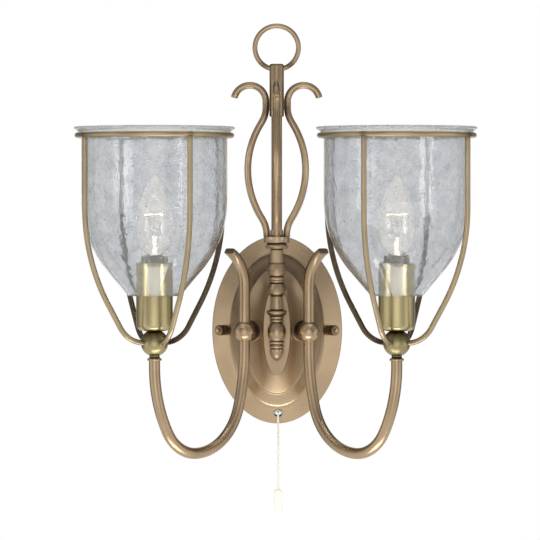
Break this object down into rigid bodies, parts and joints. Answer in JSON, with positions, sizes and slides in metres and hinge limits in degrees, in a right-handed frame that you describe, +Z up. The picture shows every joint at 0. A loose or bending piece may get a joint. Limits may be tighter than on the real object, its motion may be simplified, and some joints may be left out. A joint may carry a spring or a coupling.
{
  "type": "double arm wall sconce",
  "caption": "Brass wall light: oval stepped backplate, two bent tube arms with wire cages holding flared clear glass shades, turned centre column and pull cord switch.",
  "frame": {"origin": "middle of the oval backplate on the wall plane, halfway between the two wall screw slots", "axes": "+Z up, +Y into the wall, the lamps stand out towards -Y, left and right as seen from the front"},
  "size_m": [0.3668, 0.1974, 0.4586],
  "materials": {
    "plate_brass": "antique satin, lacquered",
    "cage_brass": "antique satin, slightly yellower",
    "zinc_steel": "zinc plated",
    "terminal_brass": "plain",
    "terminal_plastic": "moulded",
    "contact_metal": "plain",
    "switch_plastic": "moulded",
    "spring_steel": "plain",
    "eyelet_metal": "bright",
    "cord": "braided",
    "pull_plastic": "ivory",
    "flex": "clear over tinned wire",
    "holder_plastic": "moulded",
    "filament": "tungsten",
    "shade_glass": "clear, seeded with small bubbles",
    "bulb_glass": "clear"
  },
  "bodies": {
    "sconce": {"backplate": "plate_brass", "wall_bracket": "zinc_steel", "thumb_studs": "plate_brass", "thumb_nuts": "plate_brass", "earth_screw": "terminal_brass", "terminal_block": "terminal_plastic", "terminal_screws": "zinc_steel", "hollow_nipples": "zinc_steel", "arm_nuts": "zinc_steel", "lampholder_shells": "contact_metal", "lampholder_contacts": "contact_metal", "spindle_upper": "plate_brass", "spindle_lower": "plate_brass", "spindle_studs": "plate_brass", "spindle_nuts": "zinc_steel", "centre_tube": "plate_brass", "tube_sleeve": "plate_brass", "hanging_ring": "plate_brass", "scroll_left": "plate_brass", "scroll_right": "plate_brass", "scroll_front": "plate_brass", "switch_housing": "switch_plastic", "switch_spring": "spring_steel", "cord_eyelet": "eyelet_metal", "arm_boss_left": "plate_brass", "root_ball_left": "plate_brass", "arm_left": "plate_brass", "arm_flex_left": "flex", "lamp_neck_left": "cage_brass", "lamp_ball_left": "cage_brass", "cage_ring_left": "cage_brass", "cage_wires_left": "cage_brass", "cup_left": "cage_brass", "lampholder_left": "holder_plastic", "arm_boss_right": "plate_brass", "root_ball_right": "plate_brass", "arm_right": "plate_brass", "arm_flex_right": "flex", "lamp_neck_right": "cage_brass", "lamp_ball_right": "cage_brass", "cage_ring_right": "cage_brass", "cage_wires_right": "cage_brass", "cup_right": "cage_brass", "lampholder_right": "holder_plastic"},
    "switch": {"switch_plunger": "switch_plastic", "cord_inner": "cord"},
    "pull": {"pull_cord": "cord", "cord_pull": "pull_plastic"},
    "shade_left": {"glass_shade_left": "shade_glass"},
    "bulb_left_foot": {"bulb_contact_left": "contact_metal"},
    "bulb_left": {"bulb_glass_left": "bulb_glass", "bulb_cap_left": "contact_metal", "bulb_stem_left": "bulb_glass", "bulb_filament_left": "filament"},
    "shade_right": {"glass_shade_right": "shade_glass"},
    "bulb_right_foot": {"bulb_contact_right": "contact_metal"},
    "bulb_right": {"bulb_glass_right": "bulb_glass", "bulb_cap_right": "contact_metal", "bulb_stem_right": "bulb_glass", "bulb_filament_right": "filament"}
  },
  "joints": [
    {"name": "switch_pull", "type": "slide", "parent": "sconce", "child": "switch", "axis": [0, 0, -1], "range_m": [0, 0.006], "stiffness_N_per_m": 900, "springref_m": -0.006, "deforming": ["switch_spring"]},
    {"name": "cord_swing", "type": "hinge", "parent": "switch", "child": "pull", "pos_m": [0.001, -0.00965, -0.0785], "axis": [0, 1, 0], "range_deg": [-25, 25]},
    {"name": "shade_left_lift", "type": "slide", "parent": "sconce", "child": "shade_left", "axis": [0, 0, 1], "range_m": [0, 0.12]},
    {"name": "bulb_left_rise", "type": "slide", "parent": "sconce", "child": "bulb_left_foot", "axis": [0, 0, 1], "range_m": [0, 0.01133]},
    {"name": "bulb_left_turn", "type": "hinge", "parent": "bulb_left_foot", "child": "bulb_left", "pos_m": [-0.11012, -0.12412, 0.06], "axis": [0, 0, 1], "range_deg": [0, 1440]},
    {"name": "shade_right_lift", "type": "slide", "parent": "sconce", "child": "shade_right", "axis": [0, 0, 1], "range_m": [0, 0.12]},
    {"name": "bulb_right_rise", "type": "slide", "parent": "sconce", "child": "bulb_right_foot", "axis": [0, 0, 1], "range_m": [0, 0.01133]},
    {"name": "bulb_right_turn", "type": "hinge", "parent": "bulb_right_foot", "child": "bulb_right", "pos_m": [0.11012, -0.12412, 0.06], "axis": [0, 0, 1], "range_deg": [0, 1440]}
  ],
  "couplings": [
    {"joint": "bulb_left_rise", "follows": "bulb_left_turn", "m_per_rad": 0.00044882},
    {"joint": "bulb_right_rise", "follows": "bulb_right_turn", "m_per_rad": 0.00044882}
  ]
}
